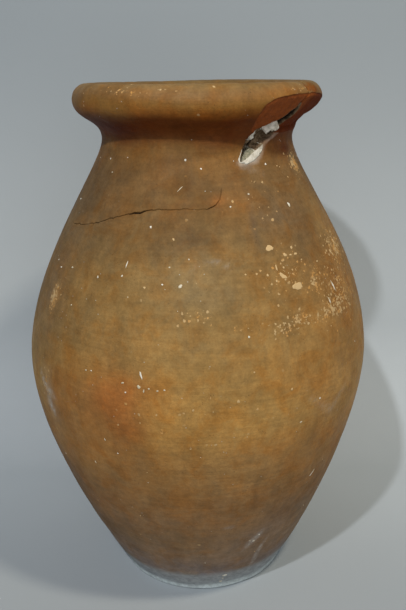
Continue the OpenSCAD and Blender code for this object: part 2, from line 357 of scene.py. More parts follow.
def to_line(u, v, r, line):
    """Distance to a line, the side (+1 on its left), the place along it, and its values there."""
    x = np.radians(u) * r
    best = np.full(len(u), 1e9)
    side = np.ones(len(u))
    place = np.zeros(len(u))
    for k in range(len(line) - 1):
        ax, bx = np.radians(line[k][0]) * r, np.radians(line[k + 1][0]) * r
        ay, by = line[k][1], line[k + 1][1]
        dx, dy = bx - ax, by - ay
        t = np.clip(((x - ax) * dx + (v - ay) * dy) / (dx * dx + dy * dy + 1e-9), 0, 1)
        ex, ey = x - ax - t * dx, v - ay - t * dy
        d = np.hypot(ex, ey)
        closer = d < best
        best = np.where(closer, d, best)
        side = np.where(closer, np.sign(dx * ey - dy * ex), side)
        place = np.where(closer, k + t, place)
    steps = np.arange(len(line))
    values = [np.interp(place, steps, line[:, c]) for c in range(2, line.shape[1])]
    return best, side, place, values


def inside(u, v, edge):
    """Whether each point is inside a closed line of (angle, arc length)."""
    found = np.zeros(len(u), bool)
    for a, b in zip(edge, np.roll(edge, -1, axis=0)):
        crosses = (a[1] > v) != (b[1] > v)
        at = a[0] + (v - a[1]) / (b[1] - a[1] + 1e-12) * (b[0] - a[0])
        found ^= crosses & (u < at)
    return found


FLAKE_LINE = jagged(surface_line(FLAKE_EDGE + FLAKE_EDGE[:1]), step=5, amount=0.45, seed=5)
GOUGE_LINE = surface_line(GOUGE)
CRACK_LINE = jagged(surface_line(THROUGH_CRACK), step=3.5, amount=0.5, seed=8)
SHOULDER_LINE = jagged(surface_line(SHOULDER_CRACK), step=4, amount=0.45, seed=3)
SMEAR_LINE = surface_line(SMEAR)
LEFT_LIP_LINE = surface_line(LEFT_LIP)
LIP_LINE = surface_line(SCUFFED_LIP)
SCUFF_LINES = [surface_line(line) for line in SCUFFS]

# Angles that each kind of damage stays between, and the drop that all of it stays above
SCAR_SPAN = (-75, 20)
GOUGE_SPAN = (-85, -20)
SHOULDER_SPAN = (-175, -60)
DAMAGED_DROP = 260
# How far the outer wear reaches under the foot and into the mouth
WEAR_UNDER, WEAR_MOUTH = 30, 8
# A distance that counts as nowhere near
FAR = 99.0


def across(s, angle):
    """Level distance along the surface from an angle."""
    return np.radians((s.u - angle + 180) % 360 - 180) * s.r


class Places:
    """What the surface needs to know about each of its points."""

    def __init__(self, u, v):
        self.u, self.v = u, v
        self.r, self.z, self.out, self.up = LINE.at(v)
        self.outside = (v > LINE.foot_v - WEAR_UNDER) & (v < LINE.mouth_v + WEAR_MOUTH)
        self.point = self.on(self.r, self.z)
        self.flake = self.over(SCAR_SPAN, self.flake_edge, -FAR)
        self.gouge = self.over(GOUGE_SPAN, self.gouge_edge, -FAR)
        self.crack = self.over(GOUGE_SPAN, self.crack_gap, FAR)
        self.shoulder = self.over(SHOULDER_SPAN, self.shoulder_gap, FAR)
        self.shoulder_side = self.over(SHOULDER_SPAN, self.shoulder_above, 0.0)
        self.shoulder_dark = self.over(SHOULDER_SPAN, self.shoulder_darkness, 0.0)

    def on(self, r, z):
        """Points at the places' angles, with the radius and height given."""
        a = np.radians(self.u)
        return np.stack([r * np.cos(a), r * np.sin(a), z], axis=1)

    def to(self, line, w=slice(None)):
        """What to_line says of a line and the places, or those at w."""
        return to_line(self.u[w], self.v[w], self.r[w], line)

    def over(self, span, measure, otherwise):
        """A measure of the points where damage can be, and one value for all the rest."""
        where = self.outside & (self.z > POT_H - DAMAGED_DROP) & (self.u > span[0]) & (self.u < span[1])
        found = np.full(len(self.u), otherwise)
        if where.any():
            found[where] = measure(where)
        return found

    def flake_edge(self, w):
        """Distance inside the edge of the scar, below 0 outside it."""
        d = self.to(FLAKE_LINE, w)[0]
        return np.where(inside(self.u[w], self.v[w], FLAKE_LINE[:-1]), d, -d)

    def gouge_edge(self, w):
        """Distance inside the lip of the gouge, below 0 outside it."""
        d, _, _, (half, _) = self.to(GOUGE_LINE, w)
        wobble = 0.9 * rough(self.point[w], 9)
        return half + wobble * np.minimum(half / 6, 1) - d

    def crack_gap(self, w):
        """Distance to the middle of the crack through the rim."""
        return self.to(CRACK_LINE, w)[0]

    def shoulder_gap(self, w):
        """Distance outside the edge of the shoulder crack, below 0 in it."""
        d, _, _, (width, _) = self.to(SHOULDER_LINE, w)
        return d - width / 2 * (1 + 0.35 * noise(self.point[w], 5))

    def shoulder_darkness(self, w):
        """How dark the shoulder crack is beside each point."""
        return self.to(SHOULDER_LINE, w)[3][1]

    def shoulder_above(self, w):
        """1 on the shard above the shoulder crack, close to the crack, and 0 below it."""
        d, side, place, _ = self.to(SHOULDER_LINE, w)
        ends = np.minimum(place, len(SHOULDER_LINE) - 1 - place)
        return np.where(side > 0, 1 - ease(d, 0, 30), 0) * ease(ends, 0, 5)


def flake_depth(s):
    """How far the scar lies inside the sound surface, measured level."""
    upper = np.interp(s.u, HOLLOW_TOP_AT, HOLLOW_TOP)
    t = np.clip((POT_H - s.z - upper) / (HOLLOW_FOOT - upper), 0, 1)
    body = (FLAKE_DEPTH - FLAKE_STEP) * np.sin(np.pi * t) ** 0.9 * ease(s.flake, 0, 9)
    step = FLAKE_STEP * ease(s.flake, 0, 1.1) * ease(t, -0.01, 0.02) * (1 - ease(t, 0.75, 1))
    ribs = 0.22 * np.sin(s.flake * 0.75 + 2.5 * noise(s.point, 22))
    grain = 0.75 * rough(s.point, 13) + 0.3 * noise(s.point, 2.6)
    return body + step + (ribs + grain) * ease(s.flake, 0, 4) * (1 - ease(t, 0.8, 1))


def gouge_depth(s):
    """How far the gouge lies inside the sound surface, measured level."""
    deep = np.zeros(len(s.u))
    w = s.gouge > -1
    if w.any():
        depth = s.to(GOUGE_LINE, w)[3][1]
        walls = ease(s.gouge[w], -0.3, 3.4)
        lumps = 1.3 * rough(s.point[w], 7)
        deep[w] = (depth + lumps) * walls
    return deep


def groove(gap, half_w, depth):
    """Depth of a crack whose edge is half_w away from its middle."""
    return depth * (1 - ease(gap, 0, half_w))


def relief(s):
    """Wear and throwing marks of the outer surface, outward along its normal.

    Each is a height in mm times noise of a size in mm.
    """
    p = s.point
    flat = p * (0.25, 0.25, 1)
    unevenness = 0.75 * noise(p, 120) + 0.3 * noise(p, 45)
    rings = 0.16 * noise(flat, 15) + 0.1 * noise(flat * (0.5, 0.5, 1), 6)
    grain = 0.07 * rough(p, 9, 2)
    top = ease(s.z, POT_H - 25, POT_H - 8)
    worn_rim = -top * (0.55 * ease(rough(p, 11), 0.15, 0.8) + 0.25 * ease(noise(p, 4), 0.35, 0.8))
    base = 0.35 * noise(flat, 9) * (1 - ease(s.z, 40, 130))
    return unevenness + rings + grain + worn_rim + base


def scoop_depth(s):
    """Depth of the small hollows."""
    deep = np.zeros(len(s.u))
    for angle, drop, radius, depth in SCOOPS:
        x = across(s, angle)
        y = s.v - LINE.arc(drop)
        near = (np.hypot(x, y) < radius * 1.6) & s.outside
        if near.any():
            d = np.hypot(x[near], y[near]) * (1 + 0.22 * noise(s.point[near], 7))
            deep[near] = np.maximum(deep[near], depth * np.clip(1 - (d / radius) ** 2, 0, 1) ** 0.7)
    return deep


# Sideways lean of the hand-thrown axis by share of the height, as a share of the height
LEAN_AT = [0, 0.1, 0.22, 0.36, 0.52, 0.7, 0.86, 1]
LEAN = [0, -0.003, -0.0069, -0.0077, -0.0051, -0.0024, -0.0031, -0.0017]


def surface(u, v):
    """The worn surface at (angle, arc length): points in mm, outward normals, and Places."""
    s = Places(u, v)
    outer = s.outside
    level = np.maximum(flake_depth(s) * (s.flake > 0), gouge_depth(s))
    broken = np.maximum(ease(s.flake, 0, 3), ease(s.gouge, 0, 2))
    fade = ease(s.v, *LINE.arc(CRACK_FADE))
    through = groove(s.crack, CRACK_HALF_W, CRACK_DEPTH) * fade
    fine = groove(s.shoulder, SHOULDER_CRACK_HALF_W, SHOULDER_CRACK_DEPTH * s.shoulder_dark)
    out = np.where(outer, relief(s) * (1 - broken), 0.25 * noise(s.point, 40))
    shard = SHARD_SINK * s.shoulder_side
    out = out - np.where(outer, through + fine + scoop_depth(s) * (1 - broken) + shard, 0)
    r = s.r + s.out * out - level * outer
    z = np.maximum(s.z + s.up * out, 0)
    p = s.on(r, z)
    lean = np.interp(z / POT_H, LEAN_AT, LEAN) * POT_H
    p[:, 0] += lean
    a = np.radians(u)
    normal = np.stack([s.out * np.cos(a), s.out * np.sin(a), s.up], axis=1)
    return p, normal, s


# ---- Objects ----


def link(name, data):
    """An object for a mesh, lamp or camera, put in the scene."""
    ob = bpy.data.objects.new(name, data)
    bpy.context.scene.collection.objects.link(ob)
    return ob


def make_object(name, verts, faces):
    """A smooth object from its points in metres and its faces."""
    mesh = bpy.data.meshes.new(name)
    mesh.from_pydata(verts, [], faces)
    mesh.shade_smooth()
    return link(name, mesh)


def paint(ob, name, values):
    """Stores one value, or one colour, for each point of the mesh."""
    values = np.asarray(values, np.float32)
    if values.ndim == 1:
        ob.data.attributes.new(name, "FLOAT", "POINT").data.foreach_set("value", values)
        return
    rgba = np.ones((len(values), 4), np.float32)
    rgba[:, :3] = values
    ob.data.attributes.new(name, "FLOAT_COLOR", "POINT").data.foreach_set("color", rgba.ravel())


# ---- Pot mesh ----

# Each splitting of the mesh: (reach from a crack, reach from the scar or the gouge)
SPLITS = ((4.5, 0.5), (2.4, -0.5), (1.2, -FAR), (0.6, -FAR))
SCAR_MARGIN = 3
LIP_MARGIN = 4
# Points nearer to each other than this, in metres, are joined along the seam
JOIN = 2e-5


def detail(s):
    """Distance to the nearest crack, and to the nearest broken area, below 0 in it."""
    cracks = np.minimum(s.crack, s.shoulder)
    lip = np.where(s.gouge > -LIP_MARGIN, -np.minimum(s.gouge + LIP_MARGIN, 0.1), FAR)
    return cracks, np.minimum(-s.flake - SCAR_MARGIN, lip)


def parameter_mesh():
    """A grid of (angle, arc length), split finer towards the cracks and the scar."""
    angles = SEAM + 360 * np.arange(COLUMNS + 1) / COLUMNS
    rows = LINE.rows
    n, m = len(angles), len(rows)
    verts = [(a, v, 0) for v in rows for a in angles]
    faces = [(j * n + i, j * n + i + 1, (j + 1) * n + i + 1, (j + 1) * n + i)
             for j in range(m - 1) for i in range(n - 1)]
    mesh = bpy.data.meshes.new("parameters")
    mesh.from_pydata(verts, [], faces)
    bm = bmesh.new()
    bm.from_mesh(mesh)
    bpy.data.meshes.remove(mesh)
    for crack_reach, area_reach in SPLITS:
        split_near(bm, crack_reach, area_reach)
    odd = [f for f in bm.faces if len(f.verts) > 4]
    bmesh.ops.triangulate(bm, faces=odd)
    return bm


def split_near(bm, crack_reach, area_reach):
    """Splits the faces that lie near a crack or in the scar."""
    centres = np.array([f.calc_center_median()[:2] for f in bm.faces])
    cracks, areas = detail(Places(centres[:, 0], centres[:, 1]))
    chosen = (cracks < crack_reach) | (areas < area_reach)
    edges = {e for f, c in zip(bm.faces, chosen) if c for e in f.edges}
    bmesh.ops.subdivide_edges(bm, edges=list(edges), cuts=1, use_grid_fill=True)


def close_seams(bm, layer_u, layer_v):
    """Joins the two ends of the grid each way, so that the pot is one closed skin."""
    last, near = LINE.rows[-1], 1e-3
    seam = [vert for vert in bm.verts
            if vert[layer_v] == 0 or vert[layer_v] > last - near
            or abs(vert[layer_u] - SEAM) < near or abs(vert[layer_u] - SEAM - 360) < near]
    bmesh.ops.remove_doubles(bm, verts=seam, dist=JOIN)


def take(mesh, name):
    """Reads the value stored for each point of a mesh, and removes it."""
    values = np.empty(len(mesh.vertices))
    mesh.attributes[name].data.foreach_get("value", values)
    mesh.attributes.remove(mesh.attributes[name])
    return values


def make_pot():
    """The clay jar: the grid laid on the worn surface, closed and coloured."""
    bm = parameter_mesh()
    uv = np.array([v.co[:2] for v in bm.verts])
    p, _, _ = surface(uv[:, 0], uv[:, 1])
    layer_u = bm.verts.layers.float.new("u")
    layer_v = bm.verts.layers.float.new("v")
    for vert, co, (u, v) in zip(bm.verts, p * MM, uv):
        vert.co = co
        vert[layer_u], vert[layer_v] = u, v
    close_seams(bm, layer_u, layer_v)
    mesh = bpy.data.meshes.new("pot_clay")
    bm.to_mesh(mesh)
    bm.free()
    mesh.shade_smooth()
    ob = link("pot_clay", mesh)
    colour_pot(ob, take(mesh, "u"), take(mesh, "v"))
    return ob


# ---- Colours ----


def srgb(*values):
    """A colour written as 0 to 255 for a screen, as linear values."""
    c = np.array(values, float) / 255
    return np.where(c <= 0.04045, c / 12.92, ((c + 0.055) / 1.055) ** 2.4)


# Clay colour by height: (height, red, green, blue). The dark red-brown rows from 592 to 618 mm are
# painted shade under the overhanging rim.
BY_HEIGHT = [
    (0, 196, 207, 208), (7, 190, 199, 200), (13, 154, 159, 162), (33, 148, 150, 150),
    (44, 130, 114, 103), (75, 138, 114, 91), (110, 135, 107, 76), (150, 143, 109, 72),
    (180, 145, 109, 68), (250, 160, 119, 67), (305, 170, 134, 77), (350, 158, 123, 69),
    (390, 146, 115, 68), (430, 137, 106, 61), (490, 121, 96, 59), (545, 116, 89, 54),
    (575, 129, 91, 45), (592, 112, 58, 19), (610, 101, 49, 15), (618, 133, 78, 24), (627, 125, 87, 35),
    (637, 117, 86, 47), (647, 120, 97, 59),
]
# Patches: (angle, height, half width, half height, strength, red, green, blue)
PATCHES = [
    (-118, 318, 70, 42, 0.5, 153, 101, 49), (-114, 308, 30, 44, 0.85, 161, 90, 41),
    (-128, 300, 50, 60, 0.5, 151, 100, 51), (-100, 300, 60, 40, 0.5, 171, 126, 64),
    (-143, 295, 16, 30, 0.5, 147, 131, 116), (-138, 322, 14, 16, 0.7, 159, 102, 39),
    (-125, 545, 90, 45, 0.6, 111, 82, 48), (-92, 528, 65, 42, 0.75, 105, 76, 38),
    (-92, 420, 90, 50, 0.55, 140, 113, 67), (-91, 437, 45, 26, 0.6, 147, 123, 83),
    (-89, 488, 17, 12, 0.7, 92, 75, 49), (-67.5, 503, 5, 24, 0.7, 92, 78, 60),
    (-62.4, 512, 4, 14, 0.6, 98, 80, 58), (-75, 508, 4, 20, 0.5, 105, 82, 49),
    (-74, 525, 16, 26, 0.5, 135, 94, 47), (-150, 445, 45, 90, 0.6, 118, 94, 66),
    (-35, 420, 70, 80, 0.55, 149, 106, 57), (-50, 330, 80, 40, 0.45, 164, 117, 63),
    (-38, 285, 40, 40, 0.5, 173, 133, 79), (-25, 557, 12, 11, 0.6, 151, 141, 105),
    # The patch at (-32, 573) is a painted shadow of the rim on the neck beside the gouge.
    (-32, 573, 36, 14, 0.92, 76, 36, 14), (-50, 505, 34, 30, 0.55, 113, 90, 64),
    (-62, 120, 40, 30, 0.5, 136, 115, 98), (-150, 135, 70, 60, 0.6, 105, 78, 50),
    # The patch at (-145, 604) is painted shade under the rim on its left.
    (-18, 330, 30, 130, 0.35, 177, 137, 83), (-145, 604, 75, 15, 0.9, 80, 26, 3),
    (-128, 621, 55, 9, 0.7, 153, 112, 56), (-55, 622, 60, 8, 0.5, 113, 75, 30),
    (-165, 638, 40, 12, 0.5, 153, 124, 88), (-20, 488, 30, 36, 0.75, 146, 116, 70),
    (-168, 135, 40, 50, 0.8, 84, 61, 34), (-147.5, 411, 9, 11, 0.6, 205, 154, 90),
    (-81.5, 527, 9, 7, 0.6, 147, 92, 41), (-66, 85, 32, 30, 0.5, 156, 127, 98),
    (-130, 535, 50, 35, 0.5, 125, 94, 58), (-105, 573, 70, 12, 0.5, 137, 100, 54),
    # The patch at (-108, 636) is a painted highlight: the left lamp's sheen on the rim.
    (-78, 235, 40, 35, 0.5, 167, 130, 81), (-108, 636, 70, 9, 0.5, 148, 116, 77),
    (-20, 285, 34, 34, 0.45, 186, 146, 92), (-58, 634, 45, 9, 0.6, 150, 105, 55),
    (40, 380, 120, 110, 0.5, 141, 108, 66), (100, 260, 110, 90, 0.5, 145, 100, 56),
    (150, 480, 90, 80, 0.5, 113, 90, 60),
]
SCAR_RED = srgb(144, 77, 37)
SCAR_DARK = srgb(108, 48, 18)
SCAR_ORANGE = srgb(156, 86, 32)
CHIP = srgb(119, 70, 21)
HALO = srgb(172, 166, 158)
SCUFF = srgb(168, 142, 122)
INNER = srgb(140, 96, 60)
# Clay showing at the crown above the scar, as (angle, drop) and half its size each way
CHIP_AT = (-29.5, 4.5)
CHIP_HALF = (16, 10)
# Patches narrower than this keep closer to their place
WIDE_PATCH = 30


def mixed(tone, colour, amount):
    """Colours moved towards another by an amount for each point."""
    return tone + (colour - tone) * amount[:, None]


def pot_tone(s):
    """Broad colour of the clay before its fine detail, with painted shade under the rim and on the
    neck, and a painted highlight on the rim.
    """
    # The colour wanders less from 565 mm up, so that the painted shade under the rim keeps a level
    # lower edge.
    wander = (14 - 10 * ease(s.z, 565, 592)) * noise(s.point + 180, 38)
    foot = s.z + 3 * noise(s.point, 30)
    z = np.where(s.z > 50, s.z + wander, foot)
    heights = [row[0] for row in BY_HEIGHT]
    colours = np.array([srgb(*row[1:]) for row in BY_HEIGHT])
    tone = np.stack([np.interp(z, heights, colours[:, k]) for k in range(3)], axis=1)
    sideways = 16 * noise(s.point + 50, 30)
    for angle, height, half_w, half_h, strength, *colour in PATCHES:
        loose = min(1, half_w / WIDE_PATCH)
        x = across(s, angle) + sideways * loose
        y = s.z + wander * loose - height
        amount = strength * np.exp(-(x / half_w) ** 2 - (y / half_h) ** 2) * s.outside
        tone = mixed(tone, srgb(*colour), amount)
    return tone


def scar_colour(s):
    """Red to the left of the crack, brown to its right, orange near the rim, with a painted shadow
    inside its upper edge.
    """
    drop = POT_H - s.z
    scar = mixed(SCAR_RED, SCAR_DARK, ease(s.u + 0.35 * drop, -27, -19))
    orange = np.exp(-((s.u + 31) / 7) ** 2 - ((drop - 11) / 8) ** 2)
    scar = mixed(scar, SCAR_ORANGE, 0.4 * orange)
    # Painted shadow: darker just inside the scar's upper edge, under the step where the sound surface
    # ends, fading out between 30 and 45 mm down.
    edge = np.exp(-(s.flake / 1.7) ** 2) * (1 - ease(drop, 30, 45))
    return scar * (1 - 0.5 * edge[:, None])


def chip_amount(s):
    """How bare the clay is on the chip at the crown."""
    x = np.radians(s.u - CHIP_AT[0]) * s.r + 7 * rough(s.point, 9)
    y = s.v - LINE.arc(CHIP_AT[1]) + 6 * rough(s.point + 70, 9)
    chip = np.exp(-((x / CHIP_HALF[0]) ** 4) - ((y / CHIP_HALF[1]) ** 4)) * s.outside
    return 0.9 * ease(chip, 0.1, 0.8)


def beside(s, line, reach, strength):
    """How far plaster dust or scuffing has spread from a line onto the clay beside it."""
    d, _, _, (half,) = s.to(line)
    d += 0.8 * noise(s.point, 3)
    return strength * np.exp(-(np.maximum(d - half, 0) / reach) ** 2) * s.outside


def crack_shade_amount(s):
    """Painted shade: where cracks and the deepest part of the gouge let no light out, to be painted
    near black.
    """
    shoulder = 0.9 * s.shoulder_dark * (1 - ease(s.shoulder, -0.1, 0.5))
    through = 1 - ease(s.crack, 0.3, 1.1)
    deep = ease(gouge_depth(s), 9.5, 13.5) * (1 - ease(along_gouge(s)[0], 2.4, 3.6))
    return np.maximum(np.maximum(through, shoulder), deep) * s.outside


def colour_pot(ob, u, v):
    """Stores on the pot what its material needs to know about each point."""
    s = Places(u, v)
    tone = mixed(pot_tone(s), CHIP, chip_amount(s))
    tone = mixed(tone, HALO, beside(s, SMEAR_LINE, 2.6, 0.55))
    tone = mixed(tone, SCUFF, beside(s, LIP_LINE, 0.7, 0.85))
    inner = ~s.outside & (s.v > LINE.mouth_v)
    tone[inner] = INNER
    paint(ob, "tone", tone)
    paint(ob, "scar_tone", scar_colour(s))
    paint(ob, "scar", ease(s.flake, -0.2, 0.8))
    paint(ob, "hollow", ease(s.gouge, -0.4, 1.2))
    paint(ob, "gap", crack_shade_amount(s))
    paint(ob, "flaked", flaked_area(s))
    paint(ob, "lime", s.outside * (1 - ease(s.z + 3.5 * noise(s.point, 26), 33, 41)))
    paint(ob, "inner", inner.astype(float))
    paint(ob, "scuffed", scuffed_area(s))


# Where the dark skin has flaked off in small cream spots:
# (angle, height, half width, half height, amount)
FLAKED = [
    (-33, 415, 45, 40, 1), (-40, 398, 70, 12, 1.1), (-62, 395, 28, 12, 1), (-58, 448, 40, 30, 0.75),
    (-24, 459, 32, 24, 1.25), (-25, 556, 15, 15, 1.5), (-148, 411, 13, 19, 1.4),
    (-90, 417, 20, 14, 0.85), (-60, 520, 60, 40, 0.42), (-90, 300, 120, 60, 0.3),
    (-40, 405, 40, 8, 1.2), (-56, 402, 20, 14, 1.15), (60, 430, 90, 50, 0.8), (150, 300, 80, 60, 0.7),
    (-77, 403, 12, 8, 0.9), (-46, 436, 14, 20, 1.15), (-146, 308, 14, 26, 0.9),
    (-118, 640, 90, 6, 0.66), (-40, 640, 40, 6, 0.8),
]
FLAKED_ANYWHERE = 0.1


def flaked_area(s):
    """How much of the dark skin is lost."""
    amount = np.full(len(s.u), FLAKED_ANYWHERE)
    for angle, height, half_w, half_h, strength in FLAKED:
        near = np.exp(-(across(s, angle) / half_w) ** 2 - ((s.z - height) / half_h) ** 2)
        amount = np.maximum(amount, strength * near)
    return amount * s.outside


def scuffed_area(s):
    """How strong the pale scuffs are."""
    amount = np.zeros(len(s.u))
    for line in SCUFF_LINES:
        d, _, _, (half, strength) = s.to(line)
        amount = np.maximum(amount, strength * np.exp(-(d / (half + 0.9)) ** 2))
    return amount * s.outside


# ---- Material helpers ----


class Shader:
    """A node material that is built from short calls."""

    def __init__(self, name):
        self.material = bpy.data.materials.new(name)
        self.material.use_nodes = True
        self.tree = self.material.node_tree
        self.tree.nodes.clear()
        self.coords = self.node("TexCoord").outputs["Object"]

    def node(self, kind, inputs=None, **settings):
        made = self.tree.nodes.new("ShaderNode" + kind)
        for key, value in settings.items():
            setattr(made, key, value)
        for key, value in (inputs or {}).items():
            self.put(made.inputs[key], value)
        return made

    def put(self, socket, value):
        if isinstance(value, bpy.types.NodeSocket):
            self.tree.links.new(value, socket)
        elif socket.type == "RGBA":
            socket.default_value = (*[float(c) for c in value], 1)
        else:
            socket.default_value = value

    def attribute(self, name, output="Fac"):
        return self.node("Attribute", attribute_name=name).outputs[output]

    def math(self, operation, a, b, clamp=False):
        made = self.node("Math", operation=operation, use_clamp=clamp)
        self.put(made.inputs[0], a)
        self.put(made.inputs[1], b)
        return made.outputs[0]

    def times(self, a, b):
        return self.math("MULTIPLY", a, b)

    def stretched(self, x, y, z):
        return self.node("Mapping", {"Vector": self.coords, "Scale": (x, y, z)}).outputs[0]

    def noise(self, per_m, detail=3.0, roughness=0.55, coords=None, distortion=0.0):
        """Noise with features of about 1 / per_m metres."""
        made = self.node("TexNoise", {
            "Vector": coords or self.coords, "Scale": per_m, "Detail": detail,
            "Roughness": roughness, "Distortion": distortion,
        })
        return made.outputs["Fac"]

    def cells(self, per_m, output="Distance"):
        return self.node("TexVoronoi", {"Vector": self.coords, "Scale": per_m}).outputs[output]

    def span(self, value, low, high, to_low=0.0, to_high=1.0):
        """A value eased from one range to another."""
        made = self.node("MapRange", {
            "Value": value, "From Min": low, "From Max": high, "To Min": to_low, "To Max": to_high,
        }, interpolation_type="SMOOTHSTEP")
        return made.outputs["Result"]

    def mix(self, factor, a, b, mode="MIX"):
        made = self.node("Mix", data_type="RGBA", blend_type=mode)
        self.put(made.inputs["Factor"], factor)
        self.put(made.inputs[6], a)
        self.put(made.inputs[7], b)
        return made.outputs[2]

    def shade(self, colour, value):
        """colour times a grey value socket."""
        grey = self.node("CombineColor", {"Red": value, "Green": value, "Blue": value}).outputs[0]
        return self.mix(1.0, colour, grey, "MULTIPLY")

    def bump(self, height, mm):
        inputs = {"Height": height, "Distance": mm * MM, "Strength": 1.0}
        return self.node("Bump", inputs).outputs[0]

    def finish(self, colour, roughness, normal, specular):
        principled = self.node("BsdfPrincipled", {
            "Base Color": colour, "Roughness": roughness, "Normal": normal,
            "Specular IOR Level": specular,
        })
        self.node("OutputMaterial", {"Surface": principled.outputs[0]})
        return self.material

    def clear_from_behind(self):
        """Makes the back of a finished surface clear."""
        end = self.tree.nodes["Material Output"].inputs["Surface"]
        front = end.links[0].from_socket
        behind = self.node("NewGeometry").outputs["Backfacing"]
        clear = self.node("BsdfTransparent").outputs[0]
        self.put(end, self.node("MixShader", {0: behind, 1: front, 2: clear}).outputs[0])


CREAM = srgb(198, 168, 122)
ORANGE_CREAM = srgb(192, 142, 80)
PALE_SCUFF = srgb(188, 182, 174)
SOOT = srgb(58, 42, 28)
LIME = srgb(190, 188, 178)
# The near-black crack colour is painted shade in the cracks and the deepest part of the gouge.
CRACK_SHADE_BLACK = srgb(26, 17, 10)
SOIL, DUSTY_CLAY = srgb(96, 68, 46), srgb(158, 112, 72)
CAVITY_DARK, CAVITY_PALE = srgb(84, 66, 47), srgb(150, 128, 102)
PLASTER, PLASTER_DIRTY = srgb(238, 232, 220), srgb(186, 179, 162)
ALGAE, ALGAE_PALE = srgb(92, 92, 70), srgb(134, 128, 106)
FLECK_WHITE, FLECK_DULL = srgb(222, 218, 206), srgb(200, 188, 160)
# Cells per metre of the flaked chips in the skin
CHIPS_PER_M = 205


def mottled_skin(m, tone):
    """Clay tone with mottling, level wiping marks, warm and grey patches, and runs."""
    blotch = m.span(m.noise(22, 5, 0.62), 0.25, 0.75, 0.86, 1.12)
    patchy = m.span(m.noise(75, 4, 0.6), 0.3, 0.7, 0.93, 1.07)
    grain = m.span(m.noise(420, 3, 0.6), 0.25, 0.75, 0.93, 1.07)
    wiping = m.span(m.noise(30, 4, 0.6, m.stretched(0.35, 0.35, 7)), 0.3, 0.7, 0.94, 1.05)
    mottle = m.span(m.noise(170, 4, 0.65), 0.3, 0.7, 0.91, 1.09)
    colour = tone
    for share in (blotch, patchy, grain, wiping, mottle):
        colour = m.shade(colour, share)
    warm = m.span(m.noise(34, 5, 0.65, distortion=0.6), 0.4, 0.72)
    colour = m.mix(warm, colour, m.mix(1.0, colour, srgb(255, 235, 205), "MULTIPLY"))
    grey = m.span(m.noise(27, 5, 0.7, m.stretched(1, 1, 0.7), 0.4), 0.42, 0.76)
    colour = m.mix(grey, colour, m.mix(1.0, colour, srgb(234, 240, 255), "MULTIPLY"))
    runs = m.span(m.noise(60, 4, 0.6, m.stretched(1, 1, 0.1)), 0.3, 0.7, 0.93, 1.06)
    return m.shade(colour, runs)


def sooty(m, colour):
    """Dark specks in the fabric of the clay."""
    dots = m.span(m.cells(230), 0.07, 0.2, 1.0, 0.0)
    some = m.span(m.noise(60, 2), 0.52, 0.62)
    return m.mix(m.times(m.times(dots, some), 0.45), colour, SOOT)


def lost_skin(m):
    """Where the dark skin has come off in specks and in chips."""
    flaked = m.attribute("flaked")
    ragged = m.noise(235, 4, 0.6)
    limit = m.math("SUBTRACT", 0.77, m.times(flaked, 0.25))
    specks = m.span(m.math("SUBTRACT", ragged, limit), 0.0, 0.05)
    wobble = m.times(m.math("SUBTRACT", ragged, 0.5), 1.3)
    edge = m.math("ADD", m.cells(CHIPS_PER_M), wobble)
    kept = m.cells(CHIPS_PER_M, output="Color")
    lost = m.math("SUBTRACT", m.times(flaked, 0.72), kept)
    chips = m.times(m.span(edge, 0.2, 0.33, 1.0, 0.0), m.span(lost, 0.0, 0.05))
    return m.math("MAXIMUM", specks, chips)


def limed(m, colour):
    """Tiny lime specks here and there."""
    flecks = m.span(m.cells(120), 0.05, 0.085, 1.0, 0.0)
    few = m.span(m.noise(25, 2), 0.56, 0.6)
    return m.mix(m.times(m.times(flecks, few), 0.7), colour, LIME)


def skin(m, tone, spots):
    """The outer surface above the foot."""
    cream = m.mix(m.span(m.noise(90, 2), 0.35, 0.6), ORANGE_CREAM, CREAM)
    colour = m.mix(m.times(spots, 0.85), sooty(m, mottled_skin(m, tone)), cream)
    broken_up = m.span(m.noise(260, 5, 0.7), 0.35, 0.6, 0.2, 1.0)
    scuffed = m.times(m.attribute("scuffed"), broken_up)
    return m.mix(scuffed, limed(m, colour), PALE_SCUFF)


def inside_dust(m):
    """Plain dusty clay with soil stains, for the inside."""
    return m.mix(m.span(m.noise(14, 6, 0.65), 0.35, 0.65), SOIL, DUSTY_CLAY)


def broken_clay(m, colour, scar, hollow):
    """The scar, the gouge and the cracks laid over the skin, with painted shade in the cracks and the
    deepest part of the gouge.
    """
    rough_break = m.span(m.noise(160, 5, 0.7), 0.25, 0.75, 0.72, 1.25)
    fracture = m.shade(m.attribute("scar_tone", "Color"), rough_break)
    colour = m.mix(scar, colour, fracture)
    cavity = m.mix(m.span(m.noise(230, 4, 0.7), 0.35, 0.7), CAVITY_DARK, CAVITY_PALE)
    colour = m.mix(hollow, colour, cavity)
    # Painted shade: the cracks and the deepest part of the gouge turn near black.
    return m.mix(m.attribute("gap"), colour, CRACK_SHADE_BLACK)


def clay_relief(m, spots, dull):
    """Fine relief: grain, sunken spots, rough breaks and level wiping marks."""
    grain = m.math("ADD", m.noise(330, 4, 0.65), m.times(spots, -0.7))
    broken = m.times(m.noise(240, 5, 0.75), m.times(dull, 2.2))
    marks = m.times(m.noise(30, 3, 0.5, m.stretched(0.3, 0.3, 8)), 0.8)
    return m.bump(m.math("ADD", m.math("ADD", grain, broken), marks), 0.45)


